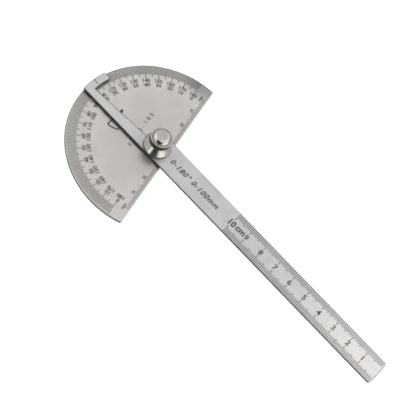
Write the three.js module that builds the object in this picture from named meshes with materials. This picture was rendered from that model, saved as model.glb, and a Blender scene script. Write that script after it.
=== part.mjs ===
// A steel protractor with a swinging ruler arm, locked by a thumb nut on its pivot stud.
// Millimetres, +Z up. The origin is on the pivot axis, on the flat back face of the stud's head.
// The plate's straight edge faces +X. The ruler arm is made along its own +X, then turned about
// the pivot to its stored angle.
import * as THREE from 'three';

// ---- driving dimensions ----
const PLATE_RADIUS = 45.5;
const PLATE_EDGE_OFFSET = 7.3; // from the pivot to the straight edge
const PLATE_CORNER_CUT = 0.6;
const SHEET_THICKNESS = 1.0; // the plate and the arm are cut from the same sheet

const ARM_REACH = 152.8; // from the pivot to the ruler's free end
const ARM_HALF_WIDTH = 7.25;
const ARM_CORNER_CUT = 1.8;
const ARM_STORED_ANGLE = -13.3; // degrees from the straight edge's normal

const TAB_INNER_RADIUS = 41.4;
const TAB_OUTER_RADIUS = 45.8; // just past the plate's rim
const TAB_CORNER_CUT = 0.5;
const READING_EDGE_ANGLE = 183.8; // degrees: the edge runs straight out from the pivot

const STUD_RADIUS = 2.0;
const STUD_HEAD_RADIUS = 5.0;
const STUD_HEAD_HEIGHT = 0.7;
const STUD_TOP = 9.4;
const STUD_CHAMFER = 0.4;
const SEAT_CLEARANCE = 0.02; // the plate and the spacer sit tight on the stud
const RUNNING_CLEARANCE = 0.05; // the arm, the clamp washer and the nut turn on it

const SPACER_RADIUS = 4.5;
const SPACER_THICKNESS = 0.7; // holds the arm clear of the plate's marks
const WASHER_RADIUS = 6.0;
const WASHER_THICKNESS = 0.4;

const NUT_BORE_DEPTH = 6.2;
const NUT_FLANGE_RADIUS = 7.2;
const NUT_FLANGE_RIM = 0.6;
const NUT_NECK_RADIUS = 4.4;
const NUT_NECK_HEIGHT = 4.4;
const NUT_GRIP_RADIUS = 5.35;
const NUT_GRIP_START = 4.7;
const NUT_LIP_RADIUS = 5.45;
const NUT_LIP_START = 7.9;
const NUT_LIP_END = 8.6;
const NUT_LIP_INNER = 4.95;
const NUT_SHOULDER_RADIUS = 4.75;
const NUT_SHOULDER_START = 8.35;
const NUT_BULGE_RADIUS = 4.17; // where the shoulder's two end slopes meet
const NUT_BULGE_HEIGHT = 9.55;
const NUT_CROWN_RADIUS = 3.0;
const NUT_HEIGHT = 10.2;
const EDGE_BREAK = 0.15;

// ---- levels of the stack, from the stud's back face up ----
const PLATE_LEVEL = STUD_HEAD_HEIGHT;
const SPACER_LEVEL = PLATE_LEVEL + SHEET_THICKNESS;
const ARM_LEVEL = SPACER_LEVEL + SPACER_THICKNESS;
const WASHER_LEVEL = ARM_LEVEL + SHEET_THICKNESS;
const NUT_LEVEL = WASHER_LEVEL + WASHER_THICKNESS;

// ---- fineness ----
const TURNED_SIDES = 64;
const RIM_STEP = 1.5; // degrees between points on the sheet parts' large arcs
const CORNER_STEPS = 4;

const radians = THREE.MathUtils.degToRad;
const point = (x, y) => new THREE.Vector2(x, y);

function arcPoints(radius, from, to) {
  const steps = Math.ceil(Math.abs(to - from) / RIM_STEP);
  const turn = (i) => radians(from + ((to - from) * i) / steps);
  return Array.from({ length: steps + 1 }, (_, i) =>
    point(radius * Math.cos(turn(i)), radius * Math.sin(turn(i))));
}

// A corner rounded from `before` to `after`, both of which lie on the two sides that meet in it.
function cornerPoints(before, corner, after) {
  return new THREE.QuadraticBezierCurve(before, corner, after).getPoints(CORNER_STEPS);
}

function sheetPart(outline, holeRadius) {
  const shape = new THREE.Shape(outline);
  const hole = new THREE.Path();
  hole.absarc(0, 0, holeRadius, 0, 2 * Math.PI, true);
  shape.holes.push(hole);
  return new THREE.ExtrudeGeometry(shape, {
    depth: SHEET_THICKNESS,
    bevelEnabled: false,
    curveSegments: TURNED_SIDES / 2,
  });
}

function turnedPart(profile) {
  return new THREE.LatheGeometry(profile, TURNED_SIDES).rotateX(Math.PI / 2);
}

function washerProfile(bore, radius, thickness) {
  return [
    point(bore, 0),
    point(radius, 0),
    point(radius, thickness),
    point(bore, thickness),
    point(bore, 0),
  ];
}

// ---- the outlines of the two sheet parts ----
function plateOutline() {
  const cornerY = Math.sqrt(PLATE_RADIUS ** 2 - PLATE_EDGE_OFFSET ** 2);
  const cornerAngle = THREE.MathUtils.radToDeg(Math.atan2(cornerY, PLATE_EDGE_OFFSET));
  const cutAngle = THREE.MathUtils.radToDeg(PLATE_CORNER_CUT / PLATE_RADIUS);
  const rim = arcPoints(PLATE_RADIUS, cornerAngle + cutAngle, 360 - cornerAngle - cutAngle);
  const lowCorner = cornerPoints(
    rim[rim.length - 1],
    point(PLATE_EDGE_OFFSET, -cornerY),
    point(PLATE_EDGE_OFFSET, -cornerY + PLATE_CORNER_CUT),
  );
  const highCorner = cornerPoints(
    point(PLATE_EDGE_OFFSET, cornerY - PLATE_CORNER_CUT),
    point(PLATE_EDGE_OFFSET, cornerY),
    rim[0],
  );
  return [...rim, ...lowCorner.slice(1), ...highCorner.slice(0, -1)];
}

// Anticlockwise from the lower corner of the ruler's free end. The window between the hub and the
// tab opens the arm above its reading edge, so that the plate's numbers show beside the edge.
function armOutline() {
  const side = ARM_HALF_WIDTH;
  const end = (y, cut) => point(ARM_REACH - cut, y);
  const lowEnd = cornerPoints(
    end(-side, ARM_CORNER_CUT),
    end(-side, 0),
    end(-side + ARM_CORNER_CUT, 0),
  );
  const highEnd = cornerPoints(
    end(side - ARM_CORNER_CUT, 0),
    end(side, 0),
    end(side, ARM_CORNER_CUT),
  );
  const hub = arcPoints(ARM_HALF_WIDTH, 90, READING_EDGE_ANGLE);
  const tabTopInner = 180 - THREE.MathUtils.radToDeg(Math.asin(side / TAB_INNER_RADIUS));
  const inner = arcPoints(TAB_INNER_RADIUS, READING_EDGE_ANGLE, tabTopInner);
  const outerX = -Math.sqrt(TAB_OUTER_RADIUS ** 2 - side ** 2);
  const cutTurn = Math.asin((side - TAB_CORNER_CUT) / TAB_OUTER_RADIUS);
  const cutAngle = THREE.MathUtils.radToDeg(cutTurn);
  const outer = arcPoints(TAB_OUTER_RADIUS, 180 - cutAngle, 180 + cutAngle);
  const highTab = cornerPoints(
    point(outerX + TAB_CORNER_CUT, side),
    point(outerX, side),
    outer[0],
  );
  const lowTab = cornerPoints(
    outer[outer.length - 1],
    point(outerX, -side),
    point(outerX + TAB_CORNER_CUT, -side),
  );
  return [
    ...lowEnd,
    ...highEnd,
    ...hub,
    ...inner,
    ...highTab.slice(0, -1),
    ...outer,
    ...lowTab.slice(1),
  ];
}

// ---- the profiles of the turned parts, each from its low end up ----
function studProfile() {
  return [
    point(0, 0),
    point(STUD_HEAD_RADIUS - EDGE_BREAK, 0),
    point(STUD_HEAD_RADIUS, EDGE_BREAK),
    point(STUD_HEAD_RADIUS, STUD_HEAD_HEIGHT),
    point(STUD_RADIUS, STUD_HEAD_HEIGHT),
    point(STUD_RADIUS, STUD_TOP - STUD_CHAMFER),
    point(STUD_RADIUS - STUD_CHAMFER, STUD_TOP),
    point(0, STUD_TOP),
  ];
}

// A bulging shoulder runs from a shallow groove inside the lip up to the flat crown.
function nutProfile() {
  const bore = STUD_RADIUS + RUNNING_CLEARANCE;
  const shoulder = cornerPoints(
    point(NUT_SHOULDER_RADIUS, NUT_SHOULDER_START),
    point(NUT_BULGE_RADIUS, NUT_BULGE_HEIGHT),
    point(NUT_CROWN_RADIUS, NUT_HEIGHT),
  );
  return [
    point(0, NUT_BORE_DEPTH),
    point(bore, NUT_BORE_DEPTH),
    point(bore, 0),
    point(NUT_FLANGE_RADIUS - EDGE_BREAK, 0),
    point(NUT_FLANGE_RADIUS, EDGE_BREAK),
    point(NUT_FLANGE_RADIUS, NUT_FLANGE_RIM - EDGE_BREAK),
    point(NUT_FLANGE_RADIUS - EDGE_BREAK, NUT_FLANGE_RIM),
    point(NUT_NECK_RADIUS, NUT_NECK_HEIGHT),
    point(NUT_GRIP_RADIUS, NUT_GRIP_START),
    point(NUT_GRIP_RADIUS, NUT_LIP_START),
    point(NUT_LIP_RADIUS, NUT_LIP_START + EDGE_BREAK),
    point(NUT_LIP_RADIUS, NUT_LIP_END - EDGE_BREAK),
    point(NUT_LIP_RADIUS - EDGE_BREAK, NUT_LIP_END),
    point(NUT_LIP_INNER, NUT_LIP_END),
    ...shoulder,
    point(0, NUT_HEIGHT),
  ];
}

// ---- materials ----
const brushedSteel = new THREE.MeshStandardMaterial({
  color: 0xc6c2be,
  roughness: 0.42,
  metalness: 1.0,
});
const plainSteel = new THREE.MeshStandardMaterial({
  color: 0xb4b2ae,
  roughness: 0.35,
  metalness: 1.0,
});
const platedBrass = new THREE.MeshStandardMaterial({
  color: 0xd2cec6,
  roughness: 0.16,
  metalness: 1.0,
});

function namedMesh(name, geometry, material, level) {
  const mesh = new THREE.Mesh(geometry, material);
  mesh.name = name;
  mesh.position.z = level;
  return mesh;
}

// ---- the assembly ----
const seatRadius = STUD_RADIUS + SEAT_CLEARANCE;
const runningRadius = STUD_RADIUS + RUNNING_CLEARANCE;

const plate = namedMesh(
  'protractor_plate', sheetPart(plateOutline(), seatRadius), brushedSteel, PLATE_LEVEL);
const stud = namedMesh('pivot_stud', turnedPart(studProfile()), plainSteel, 0);
const spacer = namedMesh(
  'spacer_washer',
  turnedPart(washerProfile(seatRadius, SPACER_RADIUS, SPACER_THICKNESS)),
  plainSteel,
  SPACER_LEVEL,
);
const arm = namedMesh(
  'ruler_arm', sheetPart(armOutline(), runningRadius), brushedSteel, ARM_LEVEL);
const washer = namedMesh(
  'clamp_washer',
  turnedPart(washerProfile(runningRadius, WASHER_RADIUS, WASHER_THICKNESS)),
  plainSteel,
  WASHER_LEVEL,
);
const nut = namedMesh('thumb_nut', turnedPart(nutProfile()), platedBrass, NUT_LEVEL);

const swingingArm = new THREE.Group();
swingingArm.rotation.z = radians(ARM_STORED_ANGLE);
swingingArm.add(arm);

const protractor = new THREE.Group();
protractor.add(plate, stud, spacer, swingingArm, washer, nut);

export default protractor;
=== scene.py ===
import math

import bmesh
import bpy
from mathutils import Matrix, Vector


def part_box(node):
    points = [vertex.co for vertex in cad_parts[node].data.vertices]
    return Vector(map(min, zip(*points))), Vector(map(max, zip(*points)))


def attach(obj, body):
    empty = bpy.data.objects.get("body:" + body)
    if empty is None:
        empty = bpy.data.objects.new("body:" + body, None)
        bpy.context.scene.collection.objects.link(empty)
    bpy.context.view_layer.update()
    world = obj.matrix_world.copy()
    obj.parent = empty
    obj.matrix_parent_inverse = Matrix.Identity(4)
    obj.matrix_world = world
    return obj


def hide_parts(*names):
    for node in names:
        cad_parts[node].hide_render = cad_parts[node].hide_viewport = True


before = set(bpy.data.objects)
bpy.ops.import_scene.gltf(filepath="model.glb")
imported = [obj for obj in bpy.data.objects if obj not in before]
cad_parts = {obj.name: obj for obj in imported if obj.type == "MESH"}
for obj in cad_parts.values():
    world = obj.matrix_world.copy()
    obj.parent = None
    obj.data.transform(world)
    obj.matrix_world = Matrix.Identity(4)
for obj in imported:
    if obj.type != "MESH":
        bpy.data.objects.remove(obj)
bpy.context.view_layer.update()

MM = 0.001


def cad_box(part):
    """A CAD node's lowest and highest corners, in millimetres."""
    low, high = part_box(part)
    return low / MM, high / MM


# ---- sizes in millimetres, from the frame ----
plate_low, plate_high = cad_box("protractor_plate")
arm_low, arm_high = cad_box("ruler_arm")
stud_low, stud_high = cad_box("pivot_stud")
spacer_low, spacer_high = cad_box("spacer_washer")
washer_low, washer_high = cad_box("clamp_washer")
nut_low, nut_high = cad_box("thumb_nut")

PLATE_RADIUS = -plate_low.x
PLATE_EDGE = plate_high.x  # the straight edge
STUD_HEAD_HEIGHT = plate_low.z

# ---- the CAD's own driving dimensions ----
PLATE_CORNER_CUT = 0.6

ARM_ANGLE = math.radians(-13.3)
ARM_REACH = 152.8
ARM_HALF_WIDTH = 7.25
ARM_CORNER_CUT = 1.8
TAB_INNER_RADIUS = 41.4
TAB_OUTER_RADIUS = 45.8
TAB_CORNER_CUT = 0.5
READING_EDGE_ANGLE = 183.8

STUD_RADIUS = 2.0
STUD_CHAMFER = 0.4
SEAT_RADIUS = 2.02
RUNNING_RADIUS = 2.05

NUT_BORE_DEPTH = 6.2
NUT_FLANGE_RIM = 0.6
NUT_NECK_RADIUS = 4.4
NUT_NECK_HEIGHT = 4.4
NUT_GRIP_RADIUS = 5.35
NUT_GRIP_START = 4.7
NUT_LIP_RADIUS = 5.45
NUT_LIP_START = 7.9
NUT_LIP_END = 8.6
NUT_LIP_INNER = 4.95
NUT_SHOULDER_RADIUS = 4.75
NUT_SHOULDER_START = 8.35
NUT_BULGE_RADIUS = 4.17
NUT_BULGE_HEIGHT = 9.55
NUT_CROWN_RADIUS = 3.0

# ---- what only the looks have: broken edges, rounded corners, a thread and a knurl ----
# from the flat of a sheet out to its side: how far in from the outline, and how far down
SHEET_EDGE = ((0.44, 0.0), (0.40, 0.015), (0.24, 0.07), (0.09, 0.13), (0.02, 0.18), (0.0, 0.25))

THREAD_PITCH = 0.7
THREAD_DEPTH = 0.38
THREAD_START = arm_high.z
THREAD_RUNOUT = 0.5

KNURL_TEETH = 60
KNURL_DEPTH = 0.2
KNURL_FADE = 0.25

CROWN_SLOPE = (nut_high.z - nut_low.z - NUT_BULGE_HEIGHT) / (NUT_BULGE_RADIUS - NUT_CROWN_RADIUS)
CROWN_ROUND = 0.3
WASHER_ROUND = 0.08
STUD_ROUND = 0.15
STUD_TOP_ROUND = 0.08
NUT_BASE_ROUND = 0.15
NUT_RIM_ROUND = 0.18
NUT_NECK_ROUND = 0.25
NUT_LIP_FOOT_ROUND = 0.1
NUT_LIP_ROUND = 0.2
NUT_LIP_INNER_ROUND = 0.08

MARK_SINK = 0.05
MARK_RISE = 0.02

# ---- fineness ----
RIM_STEP = 0.75  # degrees between points on the sheets' large arcs
COARSE_STEP = 3.0  # degrees between points on their small ones
CORNER_STEPS = 6
ROUND_STEPS = 4
SHOULDER_STEPS = 10
HOLE_SIDES = 64
TURNED_SIDES = 96
KNURL_SIDES_PER_TOOTH = 4
THREAD_LEVELS_PER_TURN = 10
SHARP_ANGLE = math.radians(40)
TINY = 1e-6
MERGE_DISTANCE = 1e-5


# ---- node trees ----
def node(tree, kind, inputs=None, **settings):
    """Adds a node. Each input is a constant, or another node's socket to link to it."""
    made = tree.nodes.new(kind)
    for key, value in settings.items():
        setattr(made, key, value)
    for key, value in (inputs or {}).items():
        if isinstance(value, bpy.types.NodeSocket):
            tree.links.new(value, made.inputs[key])
        else:
            made.inputs[key].default_value = value
    return made


def math_node(tree, operation, first, second=0.0):
    return node(tree, "ShaderNodeMath", {0: first, 1: second}, operation=operation).outputs[0]


def product(tree, first, *others):
    for other in others:
        first = math_node(tree, "MULTIPLY", first, other)
    return first


def remap(tree, value, span, to=(0.0, 1.0), how="SMOOTHSTEP"):
    """Takes value from the two ends of span to the two values in to, and never past them."""
    ends = {"From Min": span[0], "From Max": span[1], "To Min": to[0], "To Max": to[1]}
    made = node(tree, "ShaderNodeMapRange", {"Value": value, **ends}, interpolation_type=how)
    return made.outputs["Result"]


MIX_COLOUR_A = 6
MIX_COLOUR_B = 7
MIX_COLOUR_RESULT = 2


def mix_colour(tree, share, first, second):
    inputs = {"Factor": share}
    for slot, colour in ((MIX_COLOUR_A, first), (MIX_COLOUR_B, second)):
        inputs[slot] = (*colour, 1.0) if isinstance(colour, tuple) else colour
    return node(tree, "ShaderNodeMix", inputs, data_type="RGBA").outputs[MIX_COLOUR_RESULT]


def millimetres(tree, turn=0.0):
    """The piece's own coordinates in millimetres from the pivot, turned back to lie along X."""
    place = node(tree, "ShaderNodeTexCoord").outputs["Object"]
    scaled = node(
        tree, "ShaderNodeVectorMath", {0: place, "Scale": 1 / MM}, operation="SCALE").outputs[0]
    turned = node(
        tree, "ShaderNodeVectorRotate", {"Vector": scaled, "Angle": -turn}, rotation_type="Z_AXIS")
    return turned.outputs[0]


def split(tree, vector):
    return node(tree, "ShaderNodeSeparateXYZ", {0: vector}).outputs


def stretched(tree, place, scales):
    return node(
        tree, "ShaderNodeVectorMath", {0: place, 1: scales}, operation="MULTIPLY").outputs[0]


def length_of(tree, vector):
    return node(
        tree, "ShaderNodeVectorMath", {0: vector}, operation="LENGTH").outputs["Value"]


def distance_between(tree, first, second):
    return node(
        tree, "ShaderNodeVectorMath", {0: first, 1: second},
        operation="DISTANCE").outputs["Value"]


NOISE_SPAN = (0.3, 0.7)  # where most of a noise's values lie


def noise(tree, place, scale, detail=2.0, roughness=0.5, distortion=0.0):
    inputs = {
        "Vector": place,
        "Scale": scale,
        "Detail": detail,
        "Roughness": roughness,
        "Distortion": distortion,
    }
    return node(tree, "ShaderNodeTexNoise", inputs).outputs["Fac"]


def bump(tree, height, strength, depth, before=None):
    """A bump whose depth is in millimetres, on top of the bump before it."""
    inputs = {"Height": height, "Strength": strength, "Distance": depth * MM}
    if before is not None:
        inputs["Normal"] = before
    return node(tree, "ShaderNodeBump", inputs).outputs["Normal"]


def new_material(name):
    material = bpy.data.materials.new(name)
    material.use_nodes = True
    tree = material.node_tree
    return material, tree, tree.nodes["Principled BSDF"]


def steepness(tree):
    """0 on faces that lie flat, 1 on upright ones."""
    normal = node(tree, "ShaderNodeNewGeometry").outputs["Normal"]
    up = node(tree, "ShaderNodeSeparateXYZ", {0: normal}).outputs["Z"]
    return math_node(tree, "SUBTRACT", 1.0, math_node(tree, "ABSOLUTE", up))


# ---- materials ----
def toned(tone, level):
    """A grey of that level, tinted by tone."""
    return tuple(level * share for share in tone)


# grey levels of the sheets, and how much of each lies over the ones before
STEEL_DULL = 0.58
STEEL_CLEAR = 0.63
STEEL_MOTTLE = 0.53
STEEL_STREAK = 0.50
MOTTLE_SHARE = 0.6
STREAK_SHARE = 0.4
CLOUD_SPAN = (0.32, 0.68)
MOTTLE_SPAN = (0.40, 0.72)
STREAK_SPAN = (0.35, 0.75)

# the cut edges, over the steepness of their faces: the cut steel's own darkness and painted shade,
# standing in for the dark reflections along the edges and the shadow in the gap under the arm
EDGE_SHADE_BLACK = (0.05, 0.048, 0.044)
EDGE_SIDE_SHADE = (0.17, 0.165, 0.155)
EDGE_BRIGHT = (0.42, 0.41, 0.39)
EDGE_SHADE_SPAN = (0.005, 0.08)
SIDE_SHADE_SPAN = (0.7, 0.9)

SATIN_ROUGHNESS = (0.29, 0.38)
SIDE_ROUGHER = 0.2
SIDE_ROUGH_SPAN = (0.45, 0.9)


def steel_colour(tree, place, streaks, tone):
    """Clouded, mottled and streaked greys of one tone."""
    cloud = noise(tree, place, scale=0.07, detail=3.0, roughness=0.55)
    mottle = noise(tree, place, scale=0.24, detail=2.0, roughness=0.5)
    clouded = mix_colour(
        tree, remap(tree, cloud, CLOUD_SPAN), toned(tone, STEEL_DULL), toned(tone, STEEL_CLEAR))
    mottled = mix_colour(
        tree, remap(tree, mottle, MOTTLE_SPAN, (0.0, MOTTLE_SHARE)), clouded,
        toned(tone, STEEL_MOTTLE))
    return mix_colour(
        tree, remap(tree, streaks, STREAK_SPAN, (0.0, STREAK_SHARE)), mottled,
        toned(tone, STEEL_STREAK))


def edge_colour(tree, place, upright, bright_edge):
    """Black where an edge begins to turn down and dark grey on its side, painted shade along with
    the cut steel's own darkness; bright on its side where ground.
    """
    colour = mix_colour(tree, remap(tree, upright, SIDE_SHADE_SPAN), EDGE_SHADE_BLACK, EDGE_SIDE_SHADE)
    if bright_edge is not None:
        colour = mix_colour(tree, bright_edge(tree, place), colour, EDGE_BRIGHT)
    return colour


def satin_steel(name, tone, grain, turn, patches, bright_edge=None):
    """Satin stainless sheet with cut edges darkened, partly their own colour and partly painted
    shade.

    grain stretches the brushing, which is fine across the larger number. Each patch is a
    function that takes the tree and the place on the sheet and gives a share, and the colour
    that the steel has there. bright_edge is such a function for the edges that were ground.
    """
    material, tree, shader = new_material(name)
    place = millimetres(tree, turn)
    upright = steepness(tree)
    brushed = stretched(tree, place, grain)
    streaks = noise(tree, brushed, scale=1.6, detail=3.0, roughness=0.65)
    coloured = steel_colour(tree, place, streaks, tone)
    for share, colour in patches:
        coloured = mix_colour(tree, share(tree, place), coloured, colour)
    # painted shade on the cut edges, laid over the steel's own colour
    edges = edge_colour(tree, place, upright, bright_edge)
    edge_shaded = mix_colour(tree, remap(tree, upright, EDGE_SHADE_SPAN), coloured, edges)
    tree.links.new(edge_shaded, shader.inputs["Base Color"])

    smudge = noise(tree, place, scale=0.16, detail=2.0, distortion=0.8)
    satin = remap(tree, smudge, NOISE_SPAN, SATIN_ROUGHNESS)
    rougher = remap(tree, upright, SIDE_ROUGH_SPAN, (0.0, SIDE_ROUGHER))
    tree.links.new(math_node(tree, "ADD", satin, rougher), shader.inputs["Roughness"])
    fine = noise(tree, place, scale=2.4, detail=3.0, roughness=0.6)
    grain_bump = bump(tree, streaks, strength=0.35, depth=0.010)
    fine_bump = bump(tree, fine, strength=0.25, depth=0.008, before=grain_bump)
    tree.links.new(fine_bump, shader.inputs["Normal"])
    shader.inputs["Metallic"].default_value = 1.0
    return material


CORNER_DARK_X = (-12.0, 2.0)
CORNER_DARK_Y = (33.0, 43.0)
CORNER_DARK_SHARE = 0.92
GROUND_SIDE = (PLATE_EDGE - 0.55, PLATE_EDGE - 0.45)
HUB_DARK_RADII = (16.0, 38.0)
HUB_DARK_SHARE = 0.7
# a painted sheen: the ruler lighter towards its free end
RULER_SHEEN_X = (80.0, 150.0)
RULER_SHEEN_SHARE = 0.6
TAB_BRIGHT_X = (-6.0, -18.0)
TAB_BRIGHT_SHARE = 0.5


def corner_tarnish(tree, place):
    """The plate is darker towards its +Y corner."""
    axes = split(tree, place)
    outwards = remap(tree, axes["Y"], CORNER_DARK_Y, (0.0, CORNER_DARK_SHARE))
    return product(tree, outwards, remap(tree, axes["X"], CORNER_DARK_X))


def straight_side(tree, place):
    """The plate's straight side is ground, for measuring from."""
    return remap(tree, split(tree, place)["X"], GROUND_SIDE)


def hub_haze(tree, place):
    """The plate is darker round the nut."""
    return remap(tree, length_of(tree, place), HUB_DARK_RADII, (HUB_DARK_SHARE, 0.0))


def ruler_polish(tree, place):
    """Painted sheen: the ruler is brighter towards its free end, standing in for the light that
    falls brighter there.
    """
    return remap(tree, split(tree, place)["X"], RULER_SHEEN_X, (0.0, RULER_SHEEN_SHARE))


def tab_polish(tree, place):
    """The arm is a little brighter from the hub out to the tab that a thumb pushes."""
    return remap(tree, split(tree, place)["X"], TAB_BRIGHT_X, (0.0, TAB_BRIGHT_SHARE))


WORN_BLACK = (0.22, 0.215, 0.19)
WORN_SPAN = (0.5, 0.8)
WORN_SHARE = 0.5
WORN_RADII = (4.0, 30.0)  # round the place that handling has worn the most
WORN_PLACE_SHARE = 0.6
INK_ROUGHNESS = (0.5, 0.7)


def etched_ink(name, dark, light, worn_place=None):
    """The blackened floor of an etched mark, uneven and paler where the black has worn.

    worn_place is a place on the plate round which handling has worn it the most.
    """
    material, tree, shader = new_material(name)
    place = millimetres(tree)
    uneven = noise(tree, place, scale=1.1, detail=3.0, roughness=0.6)
    worn = remap(
        tree, noise(tree, place, scale=0.12, detail=2.0), WORN_SPAN, (0.0, WORN_SHARE))
    if worn_place is not None:
        away = distance_between(tree, place, worn_place)
        near = remap(tree, away, WORN_RADII, (WORN_PLACE_SHARE, 0.0))
        worn = math_node(tree, "MAXIMUM", worn, near)
    black = mix_colour(tree, remap(tree, uneven, NOISE_SPAN), dark, light)
    faded = mix_colour(tree, worn, black, WORN_BLACK)
    tree.links.new(faded, shader.inputs["Base Color"])
    tree.links.new(remap(tree, uneven, NOISE_SPAN, INK_ROUGHNESS), shader.inputs["Roughness"])
    tree.links.new(bump(tree, uneven, strength=0.3, depth=0.01), shader.inputs["Normal"])
    return material


def turning_marks(tree, place, rings_per_mm):
    """Fine rings round the pivot axis, as a lathe tool leaves them."""
    inputs = {
        "Vector": place,
        "Scale": rings_per_mm,
        "Distortion": 0.6,
        "Detail": 2.0,
        "Detail Scale": 0.8,
    }
    rings = node(
        tree, "ShaderNodeTexWave", inputs, wave_type="RINGS", rings_direction="SPHERICAL")
    return rings.outputs["Fac"]


def band(tree, value, low, high, fade):
    """1 between two limits, fading out inside them."""
    above = remap(tree, value, (low, low + fade))
    below = remap(tree, value, (high - fade, high), (1.0, 0.0))
    return product(tree, above, below)


# dirt and painted shade on the nut: the knurled grip and the neck below it, the lip's groove and
# the flange's rim
GRIP_DIRT_AND_SHADE = (0.11, 0.10, 0.08)
GRIP_SHADE_START = NUT_NECK_HEIGHT - 0.5
GRIP_SHADE_END = NUT_LIP_END - 0.05
GRIP_SHADE_FADE = 0.3
GROOVE_DIRT_AND_SHADE = (0.42, 0.405, 0.36)
GROOVE_INNER = 4.2
GROOVE_FADE = 0.25
GROOVE_FLOOR = 8.2
RIM_SHADE_RADII = (nut_high.x - 0.25, nut_high.x - 0.05)
RIM_SHADE_SHARE = 0.8
DIRT_AND_SHADE_ROUGHER = 0.25


def nut_dirt(tree, place, tint):
    """Dirt and painted shade in the knurled grip and the neck below it, the lip's groove and the
    flange's rim, and how much there is.
    """
    height = math_node(tree, "SUBTRACT", split(tree, place)["Z"], nut_low.z)
    radius = length_of(tree, stretched(tree, place, (1.0, 1.0, 0.0)))
    grip = band(tree, height, GRIP_SHADE_START, GRIP_SHADE_END, GRIP_SHADE_FADE)
    groove = product(
        tree, band(tree, radius, GROOVE_INNER, NUT_LIP_INNER, GROOVE_FADE),
        remap(tree, height, (GROOVE_FLOOR, GROOVE_FLOOR + GRIP_SHADE_FADE)))
    rim = remap(tree, radius, RIM_SHADE_RADII, (0.0, RIM_SHADE_SHARE))
    dark = math_node(tree, "MAXIMUM", grip, rim)
    # painted shade with dirt in the grip, the neck below it and at the flange's rim, then in the
    # lip's groove
    shaded_tint = mix_colour(tree, dark, tint, GRIP_DIRT_AND_SHADE)
    dirtied_and_shaded = mix_colour(tree, groove, shaded_tint, GROOVE_DIRT_AND_SHADE)
    return dirtied_and_shaded, math_node(tree, "MAXIMUM", dark, groove)


def turned_metal(name, dark, light, roughness, marks, dirt_and_shade=None):
    """Metal turned on a lathe, from dark to light where handling has rubbed it.

    The last argument takes the tree, the place and the colour so far, and gives the colour with
    dirt and painted shade added, and how much of them there is.
    """
    material, tree, shader = new_material(name)
    place = millimetres(tree)
    cloud = noise(tree, place, scale=0.35, detail=3.0, roughness=0.6)
    fine = noise(tree, place, scale=5.0, detail=2.0)
    rings = turning_marks(tree, place, rings_per_mm=1.3)
    tint = mix_colour(tree, remap(tree, cloud, NOISE_SPAN), dark, light)
    rough = remap(tree, cloud, NOISE_SPAN, roughness)
    if dirt_and_shade is not None:
        # dirt and painted shade on the nut
        tint, share = dirt_and_shade(tree, place, tint)
        rough = math_node(tree, "ADD", rough, product(tree, share, DIRT_AND_SHADE_ROUGHER))
    tree.links.new(tint, shader.inputs["Base Color"])
    tree.links.new(rough, shader.inputs["Roughness"])
    ringed = bump(tree, rings, marks, depth=0.006)
    tree.links.new(bump(tree, fine, marks, depth=0.004, before=ringed), shader.inputs["Normal"])
    shader.inputs["Metallic"].default_value = 1.0
    return material


# ---- making pieces ----
def finish_piece(name, shape, material, body, turn=0.0):
    """Makes a named piece from a mesh in millimetres and hangs it on its body."""
    bmesh.ops.recalc_face_normals(shape, faces=shape.faces)
    bmesh.ops.transform(
        shape, matrix=Matrix.Rotation(turn, 4, "Z") @ Matrix.Scale(MM, 4), verts=shape.verts)
    mesh = bpy.data.meshes.new(name)
    shape.to_mesh(mesh)
    shape.free()
    mesh.shade_smooth()
    mesh.set_sharp_from_angle(angle=SHARP_ANGLE)
    mesh.materials.append(material)
    piece = bpy.data.objects.new(name, mesh)
    bpy.context.scene.collection.objects.link(piece)
    weighted = piece.modifiers.new("flat_faces", "WEIGHTED_NORMAL")
    weighted.keep_sharp = True
    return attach(piece, body)


def bridge(shape, first, second):
    """A band of four-sided faces between two closed rings of the same count."""
    count = len(first)
    for i in range(count):
        j = (i + 1) % count
        shape.faces.new((first[i], first[j], second[j], second[i]))


def ring_edges(shape, ring):
    return [shape.edges.get((ring[i - 1], ring[i])) for i in range(len(ring))]


# ---- outlines of the sheet parts, anticlockwise ----
def polar(radius, degrees):
    turn = math.radians(degrees)
    return Vector((radius * math.cos(turn), radius * math.sin(turn)))


def arc(radius, start, end, step=RIM_STEP):
    steps = math.ceil(abs(end - start) / step)
    return [polar(radius, start + (end - start) * i / steps) for i in range(steps + 1)]


def corner(before, tip, after, steps=CORNER_STEPS):
    """The rounded corner from before to after, two points on the sides that meet in tip."""
    points = []
    for i in range(steps + 1):
        share = i / steps
        points.append(before.lerp(tip, share).lerp(tip.lerp(after, share), share))
    return points


def plate_outline():
    corner_y = math.sqrt(PLATE_RADIUS ** 2 - PLATE_EDGE ** 2)
    corner_angle = math.degrees(math.atan2(corner_y, PLATE_EDGE))
    cut_angle = math.degrees(PLATE_CORNER_CUT / PLATE_RADIUS)
    rim = arc(PLATE_RADIUS, corner_angle + cut_angle, 360 - corner_angle - cut_angle)
    low = corner(
        rim[-1],
        Vector((PLATE_EDGE, -corner_y)),
        Vector((PLATE_EDGE, -corner_y + PLATE_CORNER_CUT)),
    )
    high = corner(
        Vector((PLATE_EDGE, corner_y - PLATE_CORNER_CUT)),
        Vector((PLATE_EDGE, corner_y)),
        rim[0],
    )
    return [*rim, *low[1:], *high[:-1]]


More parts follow.
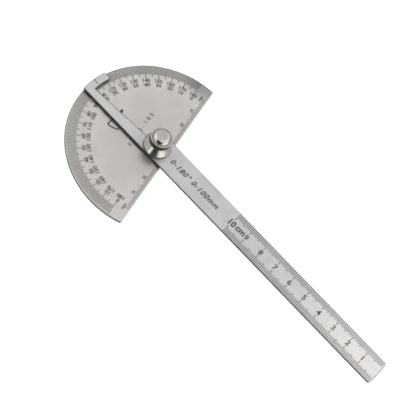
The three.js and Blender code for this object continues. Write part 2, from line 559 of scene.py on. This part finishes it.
def arm_outline():
    """The ruler, the hub, the thin reading strip and the index tab, as one outline."""
    side = ARM_HALF_WIDTH
    cut = ARM_CORNER_CUT
    low_end = corner(
        Vector((ARM_REACH - cut, -side)),
        Vector((ARM_REACH, -side)),
        Vector((ARM_REACH, cut - side)),
    )
    high_end = corner(
        Vector((ARM_REACH, side - cut)),
        Vector((ARM_REACH, side)),
        Vector((ARM_REACH - cut, side)),
    )
    hub = arc(side, 90, READING_EDGE_ANGLE, step=COARSE_STEP)
    tab_top_inner = 180 - math.degrees(math.asin(side / TAB_INNER_RADIUS))
    inner = arc(TAB_INNER_RADIUS, READING_EDGE_ANGLE, tab_top_inner)
    outer_x = -math.sqrt(TAB_OUTER_RADIUS ** 2 - side ** 2)
    cut_angle = math.degrees(math.asin((side - TAB_CORNER_CUT) / TAB_OUTER_RADIUS))
    outer = arc(TAB_OUTER_RADIUS, 180 - cut_angle, 180 + cut_angle)
    high_tab = corner(
        Vector((outer_x + TAB_CORNER_CUT, side)), Vector((outer_x, side)), outer[0])
    low_tab = corner(
        outer[-1], Vector((outer_x, -side)), Vector((outer_x + TAB_CORNER_CUT, -side)))
    return [*low_end, *high_end, *hub, *inner, *high_tab[:-1], *outer, *low_tab[1:]]


def inset(outline, amount):
    """The outline moved inwards, each corner along its mitre."""
    moved = []
    for i, here in enumerate(outline):
        into = (here - outline[i - 1]).normalized()
        out = (outline[(i + 1) % len(outline)] - here).normalized()
        inward = Vector((-into.y, into.x))
        mitre = (inward + Vector((-out.y, out.x))).normalized()
        moved.append(here + mitre * (amount / mitre.dot(inward)))
    return moved


def edge_levels(low, high):
    """How far in from the outline each level of a sheet's edge lies, from its back face up."""
    lower = [(inward, low + drop) for inward, drop in SHEET_EDGE]
    upper = [(inward, high - drop) for inward, drop in reversed(SHEET_EDGE)]
    return [*lower, *upper]


def sheet(outline, hole_radius, low, high):
    """A flat sheet with a pivot hole, its edges broken all round."""
    shape = bmesh.new()
    outer_rings = []
    hole_rings = []
    for inward, level in edge_levels(low, high):
        outer_rings.append([shape.verts.new((p.x, p.y, level)) for p in inset(outline, inward)])
        circle = arc(hole_radius + inward, 0, 360, step=360 / HOLE_SIDES)[:-1]
        hole_rings.append([shape.verts.new((p.x, p.y, level)) for p in circle])
    for rings in (outer_rings, hole_rings):
        for first, second in zip(rings, rings[1:]):
            bridge(shape, first, second)
    for end in (0, -1):
        borders = ring_edges(shape, outer_rings[end]) + ring_edges(shape, hole_rings[end])
        bmesh.ops.triangle_fill(shape, edges=borders, use_beauty=True)
    return shape


# ---- turned parts ----
def softened(points):
    """A profile whose corners are rounded. Each point is (radius, height, rounding)."""
    soft = []
    for i, (radius, height, rounding) in enumerate(points):
        here = Vector((radius, height))
        if not rounding:
            soft.append(here)
            continue
        before = Vector(points[i - 1][:2]) - here
        after = Vector(points[(i + 1) % len(points)][:2]) - here
        soft += corner(
            here + before.normalized() * rounding,
            here,
            here + after.normalized() * rounding,
            ROUND_STEPS,
        )
    return soft


def lathe(profile, sides, base, radius_at=None, closed=False):
    """A turned body. radius_at(radius, height, turn) may cut into it, as a knurl or a thread.

    The profile runs from the axis to the axis, or closed goes round a ring's section.
    """
    shape = bmesh.new()
    rings = []
    for point in profile:
        if point.x < TINY:
            rings.append([shape.verts.new((0, 0, base + point.y))])
            continue
        ring = []
        for i in range(sides):
            turn = 2 * math.pi * i / sides
            radius = radius_at(point.x, point.y, turn) if radius_at else point.x
            place = (radius * math.cos(turn), radius * math.sin(turn), base + point.y)
            ring.append(shape.verts.new(place))
        rings.append(ring)
    pairs = list(zip(rings, rings[1:]))
    if closed:
        pairs.append((rings[-1], rings[0]))
    for first, second in pairs:
        if len(first) == 1 or len(second) == 1:
            cap(shape, first, second)
        else:
            bridge(shape, first, second)
    return shape


def cap(shape, first, second):
    """The fan of faces between a ring and the single point on the axis beside it."""
    tip, ring = (first[0], second) if len(first) == 1 else (second[0], first)
    for i, here in enumerate(ring):
        shape.faces.new((tip, ring[i - 1], here))


def washer_piece(name, node_name, bore, low, high, body, material):
    section = softened([
        (bore, 0.0, WASHER_ROUND),
        (high.x, 0.0, WASHER_ROUND),
        (high.x, high.z - low.z, WASHER_ROUND),
        (bore, high.z - low.z, WASHER_ROUND),
    ])
    shape = lathe(section, TURNED_SIDES, low.z, closed=True)
    piece = finish_piece(name, shape, material, body)
    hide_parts(node_name)


def thread_radius(radius, height, turn):
    """The shank's radius with a helical thread cut into it, which deepens from its start."""
    level = height + stud_low.z
    top = stud_high.z - STUD_CHAMFER
    if radius < STUD_RADIUS - TINY or not THREAD_START < level <= top:
        return radius
    along = (level / THREAD_PITCH - turn / (2 * math.pi)) % 1.0
    groove = 1 - abs(2 * along - 1)
    start_share = min(1.0, (level - THREAD_START) / THREAD_RUNOUT)
    return radius - THREAD_DEPTH * groove * start_share


def stud_shape():
    head = stud_high.x
    top = stud_high.z
    profile = softened([
        (0.0, 0.0, 0.0),
        (head, 0.0, STUD_ROUND),
        (head, STUD_HEAD_HEIGHT, STUD_TOP_ROUND),
        (STUD_RADIUS, STUD_HEAD_HEIGHT, 0.0),
    ])
    thread_length = top - STUD_CHAMFER - THREAD_START
    levels = round(thread_length / THREAD_PITCH * THREAD_LEVELS_PER_TURN)
    for i in range(levels + 1):
        profile.append(Vector((STUD_RADIUS, THREAD_START + thread_length * i / levels)))
    profile.append(Vector((STUD_RADIUS - STUD_CHAMFER, top)))
    profile.append(Vector((0.0, top)))
    return lathe(profile, HOLE_SIDES, stud_low.z, thread_radius)


def knurl_radius(radius, height, turn):
    """The grip's radius with straight knurling cut into it, which fades at both ends."""
    if not NUT_GRIP_START < height < NUT_LIP_START or radius > NUT_GRIP_RADIUS + TINY:
        return radius
    fade = min(1.0, (height - NUT_GRIP_START) / KNURL_FADE, (NUT_LIP_START - height) / KNURL_FADE)
    tooth = 0.5 - 0.5 * math.cos(turn * KNURL_TEETH)
    return radius - KNURL_DEPTH * tooth * fade


def nut_shape():
    flange = nut_high.x
    top = nut_high.z - nut_low.z
    below = softened([
        (0.0, NUT_BORE_DEPTH, 0.0),
        (RUNNING_RADIUS, NUT_BORE_DEPTH, 0.0),
        (RUNNING_RADIUS, 0.0, NUT_BASE_ROUND),
        (flange, 0.0, NUT_BASE_ROUND),
        (flange, NUT_FLANGE_RIM, NUT_RIM_ROUND),
        (NUT_NECK_RADIUS, NUT_NECK_HEIGHT, NUT_NECK_ROUND),
        (NUT_GRIP_RADIUS, NUT_GRIP_START, 0.0),
        (NUT_GRIP_RADIUS, NUT_GRIP_START + KNURL_FADE, 0.0),
        (NUT_GRIP_RADIUS, NUT_LIP_START - KNURL_FADE, 0.0),
        (NUT_GRIP_RADIUS, NUT_LIP_START, 0.0),
        (NUT_LIP_RADIUS, NUT_LIP_START, NUT_LIP_FOOT_ROUND),
        (NUT_LIP_RADIUS, NUT_LIP_END, NUT_LIP_ROUND),
        (NUT_LIP_INNER, NUT_LIP_END, NUT_LIP_INNER_ROUND),
        (NUT_SHOULDER_RADIUS, NUT_SHOULDER_START, 0.0),
    ])
    shoulder = corner(
        Vector((NUT_SHOULDER_RADIUS, NUT_SHOULDER_START)),
        Vector((NUT_BULGE_RADIUS, NUT_BULGE_HEIGHT)),
        Vector((NUT_CROWN_RADIUS + CROWN_ROUND, top - CROWN_ROUND * CROWN_SLOPE)),
        SHOULDER_STEPS,
    )
    crown = corner(
        shoulder[-1],
        Vector((NUT_CROWN_RADIUS, top)),
        Vector((NUT_CROWN_RADIUS - CROWN_ROUND, top)),
    )
    profile = [*below, *shoulder[1:], *crown[1:], Vector((0.0, top))]
    return lathe(profile, KNURL_TEETH * KNURL_SIDES_PER_TOOTH, nut_low.z, knurl_radius)


# ---- marks ----
DIGIT_HEIGHT = 0.69  # of the built-in font, at size 1
LETTER_CURVE_STEPS = 4
LETTER_HALF_DEPTH = 0.5


def add_bar(shape, start, end, width, level):
    """A straight mark from start to end, sunk in the face at that level and just proud of it."""
    along = (end - start).normalized()
    across = Vector((-along.y, along.x)) * (width / 2)
    corners = (start - across, end - across, end + across, start + across)
    low, high = (
        [shape.verts.new((p.x, p.y, height)) for p in corners]
        for height in (level - MARK_SINK, level + MARK_RISE)
    )
    bridge(shape, low, high)
    shape.faces.new(low)
    shape.faces.new(high)


def lettering(text, height, spacing=1.0, slant=0.0, weight=0.0):
    """A text as a mesh one unit thick, standing on Y = 0 with its digits as tall as height."""
    curve = bpy.data.curves.new("lettering", "FONT")
    curve.body = text
    curve.resolution_u = LETTER_CURVE_STEPS
    curve.extrude = LETTER_HALF_DEPTH
    curve.space_character = spacing
    curve.shear = slant
    curve.offset = weight
    holder = bpy.data.objects.new("lettering", curve)
    bpy.context.scene.collection.objects.link(holder)
    bpy.context.view_layer.update()
    depsgraph = bpy.context.evaluated_depsgraph_get()
    mesh = bpy.data.meshes.new_from_object(holder.evaluated_get(depsgraph))
    bpy.data.objects.remove(holder)
    bpy.data.curves.remove(curve)
    mesh.transform(Matrix.Diagonal((height / DIGIT_HEIGHT, height / DIGIT_HEIGHT, 1, 1)))
    return mesh


def add_text(shape, text, centre, up, height, level, length=None, widen=1.0, **style):
    """A text centred on a point, with the tops of its letters towards up.

    Its letters are widened, or stretched to a given length. style goes to lettering.
    """
    mesh = lettering(text, height, **style)
    xs = [v.co.x for v in mesh.vertices]
    if length is not None:
        widen = length / (max(xs) - min(xs))
    middle = Matrix.Translation((-(max(xs) + min(xs)) / 2, -height / 2, 0))
    stretch = Matrix.Diagonal((widen, 1, MARK_SINK + MARK_RISE, 1))
    turn = Matrix.Rotation(math.atan2(-up.x, up.y), 4, "Z")
    rise = level + (MARK_RISE - MARK_SINK) / 2
    mesh.transform(Matrix.Translation((centre.x, centre.y, rise)) @ turn @ stretch @ middle)
    shape.from_mesh(mesh)
    bpy.data.meshes.remove(mesh)


def mark_piece(name, shape, body, material, turn=0.0):
    bmesh.ops.remove_doubles(shape, verts=shape.verts, dist=MERGE_DISTANCE)
    piece = finish_piece(name, shape, material, body, turn)


PATTERN_SHIFT = Vector((-0.15, 0.45))  # the etched pattern is a little off the pivot
DEGREE_OUTER = 44.8
DEGREE_INNER = 39.9
FIVE_DEGREE_INNER = 38.5
TEN_DEGREE_INNER = 37.4
DEGREE_WIDTH = 0.31
DEGREE_WIDTH_GAIN = 0.08  # how much wider the etching is at 180 degrees
OUTER_NUMBERS = 36.4
OUTER_NUMBER_HEIGHT = 1.85
INNER_NUMBERS = 34.0
MIDDLE_NUMBER = 35.7
MIDDLE_NUMBER_TURN = 89.5  # the shared 90 stands a little beside its mark
INNER_NUMBER_HEIGHT = 1.9
NUMBER_WIDEN = 1.05
NUMBER_WEIGHT = 0.03
ZERO_ANGLE = 270  # the outer row's zero lies on -Y, and its numbers rise clockwise
RIM_MARGIN = 0.46  # marks end this far short of the plate's rim


def on_plate(place):
    """A place in the etched pattern, on the plate and kept inside its rim."""
    moved = place + PATTERN_SHIFT
    return moved * min(1.0, (PLATE_RADIUS - RIM_MARGIN) / moved.length)


def degree_ticks():
    shape = bmesh.new()
    for degree in range(181):
        inner = DEGREE_INNER
        if degree % 10 == 0:
            inner = TEN_DEGREE_INNER
        elif degree % 5 == 0:
            inner = FIVE_DEGREE_INNER
        where = ZERO_ANGLE - degree
        start = on_plate(polar(inner, where))
        end = on_plate(polar(DEGREE_OUTER, where))
        add_bar(shape, start, end, DEGREE_WIDTH + DEGREE_WIDTH_GAIN * degree / 180, plate_high.z)
    return shape


def degree_numbers():
    """The outer row reads up from -Y and the inner row reads down. They share one 90."""
    shape = bmesh.new()
    labels = [(MIDDLE_NUMBER, OUTER_NUMBER_HEIGHT, ZERO_ANGLE - MIDDLE_NUMBER_TURN, 90)]
    for degree in range(0, 181, 10):
        if degree != 90:
            where = ZERO_ANGLE - degree
            labels.append((OUTER_NUMBERS, OUTER_NUMBER_HEIGHT, where, degree))
            labels.append((INNER_NUMBERS, INNER_NUMBER_HEIGHT, where, 180 - degree))
    for radius, height, where, reading in labels:
        add_text(
            shape, str(reading), on_plate(polar(radius, where)), polar(1, where), height,
            plate_high.z, widen=NUMBER_WIDEN, weight=NUMBER_WEIGHT)
    return shape


EDGE_SCALE_HALF = 37
EDGE_TICK = 2.5
EDGE_TEN_TICK = 3.0
EDGE_TICK_WIDTH = 0.32
EDGE_TICK_MARGIN = 0.6
EDGE_LABEL_X = 3.65
EDGE_LABEL_HEIGHT = 1.5
EDGE_LABEL_WEIGHT = 0.03
EDGE_LABELS = ((37.1, "mm"), (28.1, "10"), (18.1, "20"))


def edge_scale():
    """Millimetres along the straight edge, numbered inwards from both ends."""
    shape = bmesh.new()
    level = plate_high.z
    end = PLATE_EDGE - EDGE_TICK_MARGIN
    for place in range(-EDGE_SCALE_HALF, EDGE_SCALE_HALF + 1):
        from_end = EDGE_SCALE_HALF - abs(place)
        reach = EDGE_TEN_TICK if from_end % 10 == 0 else EDGE_TICK
        y = place + PATTERN_SHIFT.y
        add_bar(
            shape, Vector((PLATE_EDGE - reach, y)), Vector((end, y)), EDGE_TICK_WIDTH, level)
    for side in (-1, 1):
        for place, label in EDGE_LABELS:
            add_text(
                shape, label, Vector((EDGE_LABEL_X, side * place + PATTERN_SHIFT.y)),
                Vector((-1, 0)), EDGE_LABEL_HEIGHT, level, weight=EDGE_LABEL_WEIGHT)
    return shape


LEGEND_PLACE = Vector((-11.4, 3.2))
LEGEND_LENGTH = 22.4
LEGEND_HEIGHT = 2.1
LEGEND_SPACING = 1.9
LEGEND_WEIGHT = 0.01
SECTOR_TIP = Vector((-24.3, 6.7))
SECTOR_RAYS = (262.0, 291.0)  # degrees
SECTOR_RADIUS = 11.5
SECTOR_WIDTH = 0.75


def plate_legend():
    """The plate's range in degrees, and a plain angle sign: two rays and the arc they span."""
    shape = bmesh.new()
    level = plate_high.z
    add_text(
        shape, "deg 0-180", LEGEND_PLACE, Vector((-1, 0)), LEGEND_HEIGHT, level,
        length=LEGEND_LENGTH, spacing=LEGEND_SPACING, weight=LEGEND_WEIGHT)
    bend = [SECTOR_TIP + p for p in arc(SECTOR_RADIUS, *SECTOR_RAYS, step=COARSE_STEP)]
    loop = [SECTOR_TIP, *bend, SECTOR_TIP]
    for here, there in zip(loop, loop[1:]):
        add_bar(shape, here, there, SECTOR_WIDTH, level)
    return shape


RULER_LENGTH = 100
RULER_ZERO = 152.35  # the scale starts a little short of the free end
RULER_TICK = 3.5
RULER_FIVE_TICK = 4.2
RULER_TEN_TICK = 5.0
RULER_TICK_WIDTH = 0.39
RULER_TICK_MARGIN = 0.46
RULER_DIGIT_HEIGHT = 2.85
RULER_DIGIT_WEIGHT = 0.027
RULER_TEN_CENTRE = 52.8
RULER_TEN_HEIGHT = 3.1
RULER_UNIT_CENTRE = Vector((58.1, 0.45))
RULER_UNIT_HEIGHT = 3.2
RULER_BOLD_WEIGHT = 0.036


def ruler_ticks():
    """Millimetres on both long edges of the ruler, from its free end."""
    shape = bmesh.new()
    for mark in range(1, RULER_LENGTH + 1):
        reach = RULER_TICK
        if mark % 10 == 0:
            reach = RULER_TEN_TICK
        elif mark % 5 == 0:
            reach = RULER_FIVE_TICK
        for side in (-1, 1):
            edge = Vector((RULER_ZERO - mark, side * (ARM_HALF_WIDTH - RULER_TICK_MARGIN)))
            inner = Vector((RULER_ZERO - mark, side * (ARM_HALF_WIDTH - reach)))
            add_bar(shape, inner, edge, RULER_TICK_WIDTH, arm_high.z)
    return shape


def ruler_numbers():
    shape = bmesh.new()
    up = Vector((0, 1))
    level = arm_high.z
    for centimetre in range(1, 10):
        place = Vector((RULER_ZERO - 10 * centimetre, 0))
        add_text(
            shape, str(centimetre), place, up, RULER_DIGIT_HEIGHT, level,
            weight=RULER_DIGIT_WEIGHT)
    add_text(
        shape, "10", Vector((RULER_TEN_CENTRE, 0)), up, RULER_TEN_HEIGHT, level,
        weight=RULER_BOLD_WEIGHT)
    add_text(
        shape, "cm", RULER_UNIT_CENTRE, up, RULER_UNIT_HEIGHT, level, weight=RULER_BOLD_WEIGHT)
    return shape


ARM_LEGEND_CENTRE = Vector((26.35, 0.0))
ARM_LEGEND_LENGTH = 32.3
ARM_LEGEND_HEIGHT = 2.7
ARM_LEGEND_SLANT = 0.3
ARM_LEGEND_SPACING = 1.2
ARM_LEGEND_WEIGHT = 0.032
INDEX_INNER = Vector((-42.2, 0.25))
INDEX_OUTER = Vector((-45.4, 0.25))
INDEX_WIDTH = 0.42


def arm_legend():
    """The ranges of both scales in slanted figures, and the index line on the tab."""
    shape = bmesh.new()
    add_text(
        shape, "0-180\u00b0 0-100mm", ARM_LEGEND_CENTRE, Vector((0, 1)), ARM_LEGEND_HEIGHT,
        arm_high.z, length=ARM_LEGEND_LENGTH, spacing=ARM_LEGEND_SPACING,
        slant=ARM_LEGEND_SLANT, weight=ARM_LEGEND_WEIGHT)
    add_bar(shape, INDEX_OUTER, INDEX_INNER, INDEX_WIDTH, arm_high.z)
    return shape


# ---- the pieces ----
PLATE_TONE = (1.06, 1.02, 0.985)
PLATE_GRAIN = (2.2, 0.05, 1.0)  # its streaks run along Y
PLATE_HUB_DARKER = 0.50
CORNER_DARKER = (0.31, 0.31, 0.306)
ARM_TONE = (0.955, 0.93, 0.912)
ARM_GRAIN = (0.05, 2.2, 1.0)  # its streaks run along its own X
# the grey of the ruler's painted sheen
RULER_SHEEN_LEVEL = 0.78
TAB_BRIGHTER = 0.70
RING_WORN_PLACE = (-37.0, -19.0, plate_high.z)
TURNING_STRENGTH = 0.5

plate_patches = (
    (hub_haze, toned(PLATE_TONE, PLATE_HUB_DARKER)),
    (corner_tarnish, CORNER_DARKER),
)
arm_patches = (
    # painted sheen towards the ruler's free end
    (ruler_polish, toned(ARM_TONE, RULER_SHEEN_LEVEL)),
    (tab_polish, toned(ARM_TONE, TAB_BRIGHTER)),
)
plate_steel = satin_steel(
    "plate_satin_steel", PLATE_TONE, PLATE_GRAIN, 0.0, plate_patches, straight_side)
arm_steel = satin_steel("arm_satin_steel", ARM_TONE, ARM_GRAIN, ARM_ANGLE, arm_patches)
ink = etched_ink("etched_black", dark=(0.026, 0.025, 0.020), light=(0.065, 0.062, 0.050))
ring_ink = etched_ink(
    "etched_ring",
    dark=(0.032, 0.032, 0.022),
    light=(0.068, 0.068, 0.050),
    worn_place=RING_WORN_PLACE,
)
turned_steel = turned_metal(
    "turned_steel",
    dark=(0.40, 0.39, 0.37),
    light=(0.52, 0.51, 0.49),
    roughness=(0.26, 0.38),
    marks=TURNING_STRENGTH,
)
nickel = turned_metal(
    "bright_nickel",
    dark=(0.50, 0.483, 0.445),
    light=(0.56, 0.54, 0.50),
    roughness=(0.14, 0.21),
    marks=TURNING_STRENGTH,
    # dirt and painted shade on the nut's grip, groove and rim
    dirt_and_shade=nut_dirt,
)

plate = finish_piece(
    "plate_sheet",
    sheet(plate_outline(), SEAT_RADIUS, plate_low.z, plate_high.z),
    plate_steel,
    "plate",
)
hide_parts("protractor_plate")

arm = finish_piece(
    "arm_sheet",
    sheet(arm_outline(), RUNNING_RADIUS, arm_low.z, arm_high.z),
    arm_steel,
    "arm",
    ARM_ANGLE,
)
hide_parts("ruler_arm")

stud = finish_piece("stud_threaded", stud_shape(), turned_steel, "plate")
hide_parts("pivot_stud")

washer_piece(
    "spacer_ring", "spacer_washer", SEAT_RADIUS, spacer_low, spacer_high, "plate", turned_steel)
washer_piece(
    "clamp_ring", "clamp_washer", RUNNING_RADIUS, washer_low, washer_high, "washer", turned_steel)

nut = finish_piece("nut_turned", nut_shape(), nickel, "nut")
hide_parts("thumb_nut")

mark_piece("degree_ticks", degree_ticks(), "plate", ring_ink)
mark_piece("degree_numbers", degree_numbers(), "plate", ink)
mark_piece("edge_scale", edge_scale(), "plate", ink)
mark_piece("plate_legend", plate_legend(), "plate", ink)
mark_piece("ruler_ticks", ruler_ticks(), "arm", ink, ARM_ANGLE)
mark_piece("ruler_numbers", ruler_numbers(), "arm", ink, ARM_ANGLE)
mark_piece("arm_legend", arm_legend(), "arm", ink, ARM_ANGLE)


# ---- floor, light and camera ----
FLOOR_HALF = 3.0  # metres
FLOOR_GREY = 0.9
FLOOR_ROUGHNESS = 0.9
FLOOR_GLOW = 0.8
FLOOR_REFLECTED = 0.65  # how bright it is in the tool's reflections


def grey(level):
    return (level, level, level, 1.0)


def floor():
    """A pale floor that glows a little, as a light table does, so that shadows stay faint."""
    shape = bmesh.new()
    bmesh.ops.create_grid(shape, x_segments=1, y_segments=1, size=FLOOR_HALF)
    mesh = bpy.data.meshes.new("floor")
    shape.to_mesh(mesh)
    shape.free()
    material, tree, shader = new_material("pale_floor")
    shader.inputs["Base Color"].default_value = grey(FLOOR_GREY)
    shader.inputs["Roughness"].default_value = FLOOR_ROUGHNESS
    shader.inputs["Specular IOR Level"].default_value = 0.0
    shader.inputs["Emission Color"].default_value = grey(1.0)
    shader.inputs["Emission Strength"].default_value = FLOOR_GLOW
    camera_ray = node(tree, "ShaderNodeLightPath").outputs["Is Camera Ray"]
    dim = node(tree, "ShaderNodeEmission", {"Color": grey(FLOOR_REFLECTED)}).outputs[0]
    mixed = node(
        tree, "ShaderNodeMixShader", {0: camera_ray, 1: dim, 2: shader.outputs[0]}).outputs[0]
    tree.links.new(mixed, tree.nodes["Material Output"].inputs["Surface"])
    mesh.materials.append(material)
    made = bpy.data.objects.new("floor", mesh)
    bpy.context.scene.collection.objects.link(made)


# Each span is over X, Y or Z of the direction that the light comes from, a vector of length 1.
TOP_LIGHT = 0.77
TOP_SPAN = (0.54, 0.78)
TOP_LEAN = 0.5  # how much of Y counts as height, so that the top light's edge leans backwards
TOP_LIGHT_RIGHT = 1.45  # towards +X
TOP_RIGHT_X = (-0.05, 0.25)
TOP_LIGHT_LEFT = 1.0
TOP_LEFT_X = (-0.05, -0.45)

RIGHT_LIGHT = 1.6
RIGHT_X = (0.42, 0.82)
RIGHT_FADE_Y = (0.05, 0.6)
RIGHT_FADED = 0.3

LEFT_LIGHT = 1.7
LEFT_GLOW = 0.70  # at its foot
LEFT_X = (-0.32, -0.60)
LEFT_RISE_Z = (0.10, 0.60)
LEFT_FADE_Y = (0.25, 0.6)
LEFT_FADED = 0.45

STRIP_LIGHT = 2.2
STRIP_START_X = (-0.12, -0.28)
STRIP_END_X = (-0.42, -0.58)
STRIP_Y = (-0.5, -0.8)
STRIP_TOP_Z = (0.14, 0.30)

BACK_LIGHT = 0.70
BACK_Y = (-0.1, 0.4)
FRONT_DARK = 0.02
FRONT_HAZE = 0.12
FRONT_HAZE_Z = (0.12, 0.30)


def tent_lights(tree):
    """The strength of each light of the tent."""
    axes = split(tree, node(tree, "ShaderNodeTexCoord").outputs["Generated"])
    x, y, z = (axes[name] for name in "XYZ")
    rightwards = remap(tree, x, TOP_RIGHT_X, (TOP_LIGHT, TOP_LIGHT_RIGHT), "LINEAR")
    leftwards = remap(tree, x, TOP_LEFT_X, (TOP_LIGHT, TOP_LIGHT_LEFT), "LINEAR")
    leaning = math_node(tree, "ADD", z, product(tree, y, TOP_LEAN))
    top = product(
        tree, math_node(tree, "MAXIMUM", rightwards, leftwards), remap(tree, leaning, TOP_SPAN))
    right = product(
        tree, remap(tree, x, RIGHT_X, (0.0, RIGHT_LIGHT)),
        remap(tree, y, RIGHT_FADE_Y, (1.0, RIGHT_FADED)))
    left = product(
        tree, remap(tree, x, LEFT_X), remap(tree, z, LEFT_RISE_Z, (LEFT_GLOW, LEFT_LIGHT)),
        remap(tree, y, LEFT_FADE_Y, (1.0, LEFT_FADED)))
    strip = product(
        tree, remap(tree, x, STRIP_START_X, (0.0, STRIP_LIGHT)),
        remap(tree, x, STRIP_END_X, (1.0, 0.0)), remap(tree, y, STRIP_Y),
        remap(tree, z, STRIP_TOP_Z, (1.0, 0.0)))
    back = product(tree, remap(tree, y, BACK_Y), BACK_LIGHT)
    front = remap(tree, z, FRONT_HAZE_Z, (FRONT_HAZE, FRONT_DARK))
    return top, right, left, strip, back, front


def studio_light():
    """A white tent: light above and at both sides, grey at the back, dark at the front.

    A narrow strip light stands low at the front, left of the dark.
    """
    world = bpy.data.worlds.new("studio")
    world.use_nodes = True
    tree = world.node_tree
    tree.nodes.clear()
    brightest, *others = tent_lights(tree)
    for light in others:
        brightest = math_node(tree, "MAXIMUM", brightest, light)

    white = grey(1.0)
    tent = node(tree, "ShaderNodeBackground", {"Color": white, "Strength": brightest})
    seen = node(tree, "ShaderNodeBackground", {"Color": white, "Strength": 1.0})
    camera_ray = node(tree, "ShaderNodeLightPath").outputs["Is Camera Ray"]
    mixed = node(
        tree, "ShaderNodeMixShader",
        {0: camera_ray, 1: tent.outputs[0], 2: seen.outputs[0]})
    node(tree, "ShaderNodeOutputWorld", {"Surface": mixed.outputs[0]})
    bpy.context.scene.world = world


AIM = Vector((38.75, -13.11, 3.43))  # millimetres, as the distance
DISTANCE = 613.8
ELEVATION = math.radians(61.30)
BEHIND = math.radians(-91.93)
ROLL = math.radians(36.00)
LENS = 108.97
SENSOR = 36.0
CLIP_START = 0.01  # metres
CLIP_END = 20.0


def camera():
    """The camera leans over the -Y side of the tool, a little towards -X, and is rolled."""
    back = Vector((
        math.cos(ELEVATION) * math.cos(BEHIND),
        math.cos(ELEVATION) * math.sin(BEHIND),
        math.sin(ELEVATION),
    ))
    level_right = Vector((0, 0, 1)).cross(back).normalized()
    level_up = back.cross(level_right)
    right = level_right * math.cos(ROLL) + level_up * math.sin(ROLL)
    up = level_up * math.cos(ROLL) - level_right * math.sin(ROLL)
    data = bpy.data.cameras.new("camera")
    data.sensor_width = SENSOR
    data.lens = LENS
    data.clip_start = CLIP_START
    data.clip_end = CLIP_END
    made = bpy.data.objects.new("camera", data)
    turn = Matrix((right, up, back)).transposed().to_4x4()
    made.matrix_world = Matrix.Translation((AIM + back * DISTANCE) * MM) @ turn
    bpy.context.scene.collection.objects.link(made)
    bpy.context.scene.camera = made


FILTER_WIDTH = 1.8  # pixels

floor()
studio_light()
camera()
scene = bpy.context.scene
scene.view_settings.view_transform = "Standard"
scene.cycles.denoising_prefilter = "NONE"  # the prefilter would smear the millimetre marks
scene.cycles.pixel_filter_type = "BLACKMAN_HARRIS"
scene.cycles.filter_width = FILTER_WIDTH
